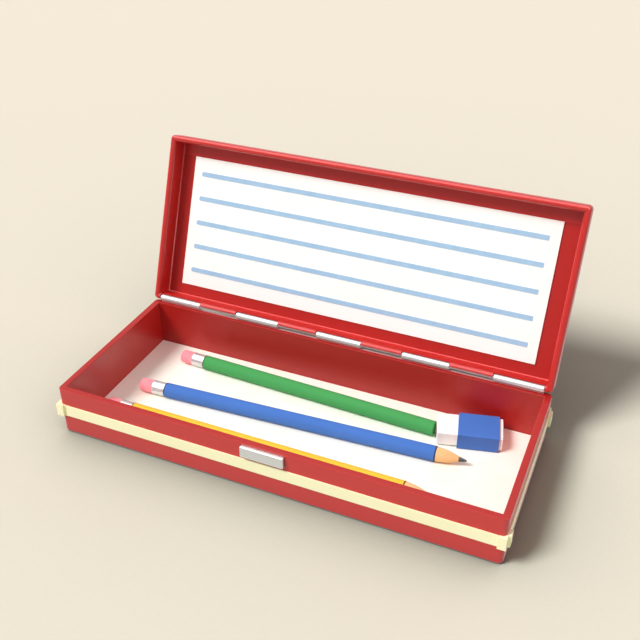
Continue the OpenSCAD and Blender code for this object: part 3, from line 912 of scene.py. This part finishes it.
@dataclass
class Pencil:
    """A round pencil that lies on the liner: rubber, ferrule, lacquered barrel, and its end.

    It is drawn along +X from the rubber, round its own axis, and then laid in the tray.
    """

    paint: PencilPaint
    start: tuple[float, float]
    length: float
    end: PencilEnd = PencilEnd.SHARP
    lie_z: float = 1.25
    radius: float = 3.5
    lacquer: float = 0.12
    fit: float = 0.03
    rubber_length: float = 6.9
    rubber_radius: float = 3.22
    rubber_round: float = 1.2
    plug_radius: float = 3.0
    ferrule_length: float = 6.5
    ferrule_radius: float = 3.3
    ferrule_wall: float = 0.25
    bead: float = 0.05
    bead_length: float = 0.4
    bead_slope: float = 0.15
    bead_edge: float = 0.08
    shoulder: float = 0.22
    blunt_edge: float = 0.12
    lip: float = 0.6
    cone: float = 10.0
    cone_swell: float = 0.42
    cone_steps: int = 8
    point: float = 3.5
    lead_radius: float = 1.15
    tip_radius: float = 0.4
    tip_edge: float = 0.2

    def build(self, bench: Bench) -> None:
        """Makes the five pieces of the pencil.

        Args:
            bench: where pieces are dressed.
        """
        self.build_rubber(bench)
        self.build_ferrule(bench)
        self.build_lacquer(bench)
        self.build_wood(bench)
        self.build_lead(bench)

    @property
    def barrel_start(self) -> float:
        """Where the lacquered barrel begins."""
        return self.rubber_length + self.ferrule_length

    @property
    def barrel_end(self) -> float:
        """Where the lacquered barrel stops."""
        return self.length - (self.cone + self.point if self.end is PencilEnd.SHARP else 0.0)

    @property
    def core_end(self) -> float:
        """Where the wood ends: at the lead's cone, or just under the closed lacquer."""
        if self.end is PencilEnd.SHARP:
            return self.length - self.point
        return self.length - self.lacquer - self.fit

    def lay(self, bench: Bench, shape: Shape, piece: str, finishes: list[Finish]) -> None:
        """Lays one piece in the tray and hands it over.

        Args:
            bench: where pieces are dressed.
            shape: the piece round its own axis.
            piece: the last word of its node's name.
            finishes: its finishes.
        """
        colour = self.paint.colour
        turn = Matrix.Rotation(math.radians(self.paint.turn_deg), 4, "Z")
        place = Matrix.Translation((*self.start, self.lie_z + self.radius)) @ turn
        bench.hand_over(
            shape, f"{colour}_pencil_{piece}", f"{colour}_pencil", finishes,
            [f"{colour}_{piece}"], place,
        )

    def build_rubber(self, bench: Bench) -> None:
        """The rubber: swollen a little where it leaves the ferrule, its end rounded.

        Args:
            bench: where pieces are dressed.
        """
        mouth = self.rubber_length - self.fit
        plug_end = mouth + self.ferrule_length / 2
        shape = turned([
            (0, 0), (0, self.rubber_radius), (mouth, self.rubber_radius), (mouth, self.plug_radius),
            (plug_end, self.plug_radius), (plug_end, 0),
        ])
        soften(shape, self.rubber_round, 6, stands_at(0))
        self.lay(bench, shape, "rubber", [PINK_RUBBER])

    def build_ferrule(self, bench: Bench) -> None:
        """The ferrule: a thin tube with a small rolled bead at each end.

        Args:
            bench: where pieces are dressed.
        """
        left, right = self.rubber_length, self.barrel_start - self.fit
        inner, outer = self.ferrule_radius - self.ferrule_wall, self.ferrule_radius
        raised = outer + self.bead
        flat, foot = self.bead_length, self.bead_length + self.bead_slope
        shape = turned([
            (left, inner), (left, raised), (left + flat, raised), (left + foot, outer),
            (right - foot, outer), (right - flat, raised), (right, raised), (right, inner), (left, inner),
        ])
        soften(shape, self.bead_edge, 2, least_angle=60)
        self.lay(bench, shape, "ferrule", [DRAWN_ALUMINIUM])

    def build_lacquer(self, bench: Bench) -> None:
        """The lacquer: a thin skin, rounded over at the ferrule, with painted shade on its end lips.

        Args:
            bench: where pieces are dressed.
        """
        left, right = self.barrel_start, self.barrel_end
        inner, outer = self.radius - self.lacquer, self.radius
        sharp = self.end is PencilEnd.SHARP
        start = (left + self.lip, inner)
        outside = [
            (left, inner - self.shoulder), (left, outer), (left + self.lip, outer),
            (right - self.lip, outer), (right, outer),
        ]
        if sharp:
            shape = turned([start, *outside, (right, inner), start])
        else:
            cap = right - self.lacquer
            shape = turned([(cap, 0), (cap, inner), start, *outside, (right, 0)])
        for face in shape.faces:
            middle = face.calc_center_median()
            # Painted shade: the lips at the barrel's ends take the darker lacquer
            in_lip_shade = middle.x < left + self.lip or (sharp and middle.x > right - self.lip)
            # Painted light: a flat end takes the paler lacquer
            at_flat_end = not sharp and face.normal.x > SQUARE_ON
            face.material_index = int(in_lip_shade) + 2 * int(at_flat_end)
        soften(
            shape, self.shoulder, 4, lambda edge: stands_at(left)(edge)
            and all(math.hypot(v.co.y, v.co.z) > outer - CLOSE for v in edge.verts),
        )
        finishes = [self.paint.barrel(), self.paint.edge()]
        if not sharp:
            soften(shape, self.blunt_edge, 2, stands_at(right))
            finishes.append(self.paint.cap())
        self.lay(bench, shape, "lacquer", finishes)

    def build_wood(self, bench: Bench) -> None:
        """The wood: a plug in the ferrule, a shoulder, the barrel and the sharpened cone.

        Args:
            bench: where pieces are dressed.
        """
        body = self.radius - self.lacquer - self.fit
        plug_start = self.rubber_length + self.ferrule_length / 2
        left, bore = self.barrel_start, self.lead_radius + self.fit
        sharp = self.end is PencilEnd.SHARP
        cone = [
            (self.core_end - self.cone * (1 - part),
             body + (bore - body) * part + 4 * self.cone_swell * part * (1 - part))
            for part in (step / self.cone_steps for step in range(self.cone_steps + 1))
        ]
        shape = turned([
            (plug_start, 0), (plug_start, self.plug_radius), (left, self.plug_radius),
            (left + self.lip, body), *(cone if sharp else [(self.core_end, body)]),
            (self.core_end, bore - self.fit / 2), (left, bore - self.fit / 2), (left, 0),
        ])
        self.lay(bench, shape, "wood", [self.paint.wood()])

    def build_lead(self, bench: Bench) -> None:
        """The lead: it runs on from the cone to a small blunt tip, or ends flat with the wood.

        Args:
            bench: where pieces are dressed.
        """
        left = self.barrel_start + self.fit
        sharp = self.end is PencilEnd.SHARP
        tip = self.length if sharp else self.core_end
        end = [(tip, self.lead_radius)]
        if sharp:
            end = [(tip - self.point, self.lead_radius), (tip, self.tip_radius)]
        shape = turned([(left, 0), (left, self.lead_radius), *end, (tip, 0)], 48)
        if sharp:
            soften(shape, self.tip_edge, 3, stands_at(tip))
        self.lay(bench, shape, "lead", [GRAPHITE])


@dataclass
class SleevedRubber:
    """A white rubber block in a blue card sleeve, which it slides out of to the right."""

    turn_deg: float = 13.55
    middle: tuple[float, float, float] = (70.98, 25.05, 5.4)
    block: tuple[float, float, float] = (29.5, 14.5, 6.7)
    block_edge: float = 0.5
    sleeve_length: float = 18.4
    sleeve_wall: float = 0.7
    sleeve_gap: float = 0.1
    sleeve_in: float = 1.75
    fold_radius: float = 0.7
    cut_edge: float = 0.1

    def build(self, bench: Bench) -> None:
        """Makes the block and its sleeve.

        Args:
            bench: where pieces are dressed.
        """
        place = Matrix.Translation(self.middle) @ Matrix.Rotation(math.radians(self.turn_deg), 4, "Z")
        half = Vector(self.block) / 2
        block = card(-half, half, self.block_edge, 5)
        bench.hand_over(
            block, "white_rubber", "rubber", [WHITE_RUBBER], ["rubber_block"], place,
        )
        bench.hand_over(
            self.sleeve_shape(), "card_sleeve", "sleeve", [Print(self.turn_deg).finish()],
            ["rubber_sleeve"], place,
        )

    def sleeve_shape(self) -> Shape:
        """The sleeve: a folded card tube, open at both ends.

        Returns:
            The shape, round the block's middle.
        """
        length, width, height = self.block
        outer = self.sleeve_gap + self.sleeve_wall
        right = length / 2 - self.sleeve_in
        shape = bmesh.new()
        bmesh.ops.create_cube(shape, size=1.0)
        size = (self.sleeve_length, width + 2 * outer, height + 2 * outer)
        bmesh.ops.scale(shape, vec=size, verts=shape.verts)
        bmesh.ops.translate(shape, vec=(right - self.sleeve_length / 2, 0, 0), verts=shape.verts)
        soften(shape, self.fold_radius, 4, lambda edge: run_along_x(edge) > CLOSE)
        ends = [face for face in shape.faces if abs(face.normal.x) > SQUARE_ON]
        bmesh.ops.delete(shape, geom=ends, context="FACES_ONLY")
        bmesh.ops.recalc_face_normals(shape, faces=shape.faces)
        bmesh.ops.solidify(shape, geom=shape.faces[:], thickness=self.sleeve_wall)
        soften(shape, self.cut_edge, 2, lambda edge: run_along_x(edge) < CLOSE, least_angle=60)
        return shape


# ---- studio ----


@dataclass
class Studio:
    """Table, lamps, soft surroundings and camera.

    Lengths here are metres. The softbox's edges are slopes away from straight up, and the ceiling
    comes in between two upward shares of a direction.
    """

    table_colour: str = "f6ecd9"
    table_shade: tuple[float, float, float, float] = (0.6, 1.0, 1.0, 1.0)
    table_mirrored: str = "e4e3de"
    table_roughness: float = 0.9
    table_specular: float = 0.1
    table_half: float = 4.0
    shade_reach: float = 0.4
    shade_samples: int = 12
    key_strength: float = 3.05
    key_angle_deg: float = 21.0
    key_from: Vector = field(default_factory=lambda: Vector((-0.635, -0.623, 1.0)))
    sky_strength: float = 0.25
    fill_strength: float = 0.65
    fill_angle_deg: float = 90.0
    fill_from: Vector = field(default_factory=lambda: Vector((0.3, 0.25, 1.0)))
    wall_gray: float = 0.42
    ceiling_gray: float = 1.0
    ceiling_from: tuple[float, float] = (0.5, 0.64)
    softbox_gray: float = 4.0
    softbox_y: tuple[float, float] = (-1.33, 0.42)
    softbox_x: float = 2.2
    softbox_fade: float = 0.06
    camera_place: tuple[float, float, float] = (0.13088, -0.28633, 0.26828)
    camera_tilt_deg: float = 56.82
    camera_turn_deg: float = 23.26
    lens_mm: float = 50.0
    table: bpy.types.Object | None = None

    def build(self) -> None:
        """Sets up everything that isn't the tin."""
        self.build_table()
        self.build_key()
        self.build_fill()
        self.build_sky()
        self.build_camera()
        LOG.info("set up the studio")

    def build_table(self) -> None:
        """A wide matt table top, which takes soft contact shade from what stands on it."""
        mesh = bpy.data.meshes.new("table_top")
        shape = bmesh.new()
        bmesh.ops.create_grid(shape, x_segments=8, y_segments=8, size=self.table_half)
        shape.to_mesh(mesh)
        shape.free()
        self.table = bpy.data.objects.new("table_top", mesh)
        bpy.context.scene.collection.objects.link(self.table)
        mesh.materials.append(self.table_paint())

    def table_paint(self) -> bpy.types.Material:
        """Matt painted board: pale, darker where the object shuts out the room, plain in mirrors.

        Returns:
            The material.
        """
        material = bpy.data.materials.new("matt_painted_board")
        material.use_nodes = True
        tree = material.node_tree
        shader = tree.nodes["Principled BSDF"]
        # Painted shade: the board's colour darkens and loses some red where the AO finds the tin close
        openness = add_node(
            tree, "ShaderNodeAmbientOcclusion", {"Distance": self.shade_reach},
            samples=self.shade_samples,
        )
        colour = add_node(
            tree, "ShaderNodeMix",
            {0: openness.outputs["AO"], 6: (0.0, 0.0, 0.0, 1.0), 7: linear(self.table_colour)},
            data_type="RGBA",
        )
        shade_tint = add_node(
            tree, "ShaderNodeMix",
            {0: openness.outputs["AO"], 6: self.table_shade, 7: (1.0, 1.0, 1.0, 1.0)},
            data_type="RGBA",
        )
        shaded = add_node(
            tree, "ShaderNodeMix", {0: 1.0, 6: colour.outputs[2], 7: shade_tint.outputs[2]},
            data_type="RGBA", blend_type="MULTIPLY",
        )
        tree.links.new(shaded.outputs[2], shader.inputs["Base Color"])
        shader.inputs["Roughness"].default_value = self.table_roughness
        shader.inputs["Specular IOR Level"].default_value = self.table_specular
        plain = add_node(tree, "ShaderNodeEmission", {"Color": linear(self.table_mirrored)})
        path = add_node(tree, "ShaderNodeLightPath")
        seen = add_node(
            tree, "ShaderNodeMixShader",
            {0: path.outputs["Is Glossy Ray"], 1: shader.outputs[0], 2: plain.outputs[0]},
        )
        tree.links.new(seen.outputs[0], tree.nodes["Material Output"].inputs["Surface"])
        return material

    def build_key(self) -> None:
        """One broad soft key from the left front; gloss sees the softbox in its place."""
        key = bpy.data.lights.new("key_lamp", "SUN")
        key.energy = self.key_strength
        key.angle = math.radians(self.key_angle_deg)
        lamp = bpy.data.objects.new("key_lamp", key)
        lamp.visible_glossy = False
        lamp.rotation_euler = self.key_from.to_track_quat("Z", "Y").to_euler()
        lamp.location = self.key_from
        bpy.context.scene.collection.objects.link(lamp)

    def build_fill(self) -> None:
        """A very wide soft fill overhead, which is flagged off the table to keep its shadow clear."""
        fill = bpy.data.lights.new("fill_lamp", "SUN")
        fill.energy = self.fill_strength
        fill.angle = math.radians(self.fill_angle_deg)
        lamp = bpy.data.objects.new("fill_lamp", fill)
        lamp.rotation_euler = self.fill_from.to_track_quat("Z", "Y").to_euler()
        lamp.location = self.fill_from
        lamp.visible_glossy = False
        bpy.context.scene.collection.objects.link(lamp)
        flagged = bpy.data.collections.new("flagged_off")
        flagged.objects.link(self.table)
        flagged.collection_objects[0].light_linking.link_state = "EXCLUDE"
        lamp.light_linking.receiver_collection = flagged

    def build_sky(self) -> None:
        """An even, neutral room: gloss sees a softbox overhead, and the camera the table's colour."""
        world = bpy.data.worlds.new("studio_room")
        world.use_nodes = True
        tree = world.node_tree
        around = add_node(tree, "ShaderNodeTexCoord")
        towards = add_node(tree, "ShaderNodeSeparateXYZ", {0: around.outputs["Generated"]})
        edges: list[Socket] = []
        for axis, low, high in (("X", -self.softbox_x, self.softbox_x), ("Y", *self.softbox_y)):
            slope = add_node(
                tree, "ShaderNodeMath", {0: towards.outputs[axis], 1: towards.outputs["Z"]},
                operation="DIVIDE",
            )
            fade = self.softbox_fade
            for start, stop in ((low - fade, low + fade), (high + fade, high - fade)):
                inside = add_node(
                    tree, "ShaderNodeMapRange",
                    {"Value": slope.outputs[0], "From Min": start, "From Max": stop},
                )
                edges.append(inside.outputs["Result"])
        upward = add_node(
            tree, "ShaderNodeMath", {0: towards.outputs["Z"], 1: 0.0}, operation="GREATER_THAN",
        )
        mask = upward.outputs[0]
        for edge in edges:
            mask = add_node(tree, "ShaderNodeMath", {0: mask, 1: edge}, operation="MULTIPLY").outputs[0]
        room = add_node(
            tree, "ShaderNodeMapRange",
            {"Value": towards.outputs["Z"], "From Min": self.ceiling_from[0],
             "From Max": self.ceiling_from[1], "To Min": self.wall_gray, "To Max": self.ceiling_gray},
        )
        mirrored = add_node(
            tree, "ShaderNodeMapRange",
            {"Value": mask, "To Min": room.outputs["Result"], "To Max": self.softbox_gray},
        )
        path = add_node(tree, "ShaderNodeLightPath")
        strength = add_node(
            tree, "ShaderNodeMix",
            {0: path.outputs["Is Glossy Ray"], 2: self.sky_strength, 3: mirrored.outputs["Result"]},
            data_type="FLOAT",
        )
        seen = add_node(
            tree, "ShaderNodeMix",
            {0: path.outputs["Is Camera Ray"], 6: (1.0, 1.0, 1.0, 1.0), 7: linear(self.table_colour)},
            data_type="RGBA",
        )
        level = add_node(
            tree, "ShaderNodeMix",
            {0: path.outputs["Is Camera Ray"], 2: strength.outputs[0], 3: 1.0}, data_type="FLOAT",
        )
        background = tree.nodes["Background"]
        tree.links.new(seen.outputs[2], background.inputs["Color"])
        tree.links.new(level.outputs[0], background.inputs["Strength"])
        bpy.context.scene.world = world

    def build_camera(self) -> None:
        """The camera, to the right of the tin's front and above it."""
        data = bpy.data.cameras.new("studio_camera")
        data.lens = self.lens_mm
        camera = bpy.data.objects.new("studio_camera", data)
        camera.location = self.camera_place
        camera.rotation_euler = (
            math.radians(self.camera_tilt_deg), 0.0, math.radians(self.camera_turn_deg),
        )
        bpy.context.scene.collection.objects.link(camera)
        bpy.context.scene.camera = camera


# Each pencil's fourth colour is the painted shade of its end lips
BLUE = PencilPaint("blue", "4e7bc9", "4a77c4", "26345a", 3.09)
# thin: the painted light of the green pencil's flat end
GREEN = PencilPaint("green", "4fa35c", "4b9e58", "1f4a29", -1.98, thin="68c276")
YELLOW = PencilPaint("yellow", "f9ca48", "f6c542", "6f5a20", 0.08)


def main() -> None:
    """Builds the tin and its contents piece by piece, and the studio round them."""
    logging.basicConfig(level=logging.INFO, format="%(message)s")
    bpy.context.scene.view_settings.view_transform = "Standard"
    bench = Bench()
    for part in (
        Tray(),
        Catch(),
        Hinge(),
        Lid(),
        Pencil(BLUE, (-85.6, -2.71), 160.7),
        Pencil(GREEN, (-79.4, 25.96), 134.9, PencilEnd.BLUNT),
        Pencil(YELLOW, (-91.69, -21.39), 160.7),
        SleevedRubber(),
    ):
        part.build(bench)
    Studio().build()


if __name__ == "__main__":
    main()
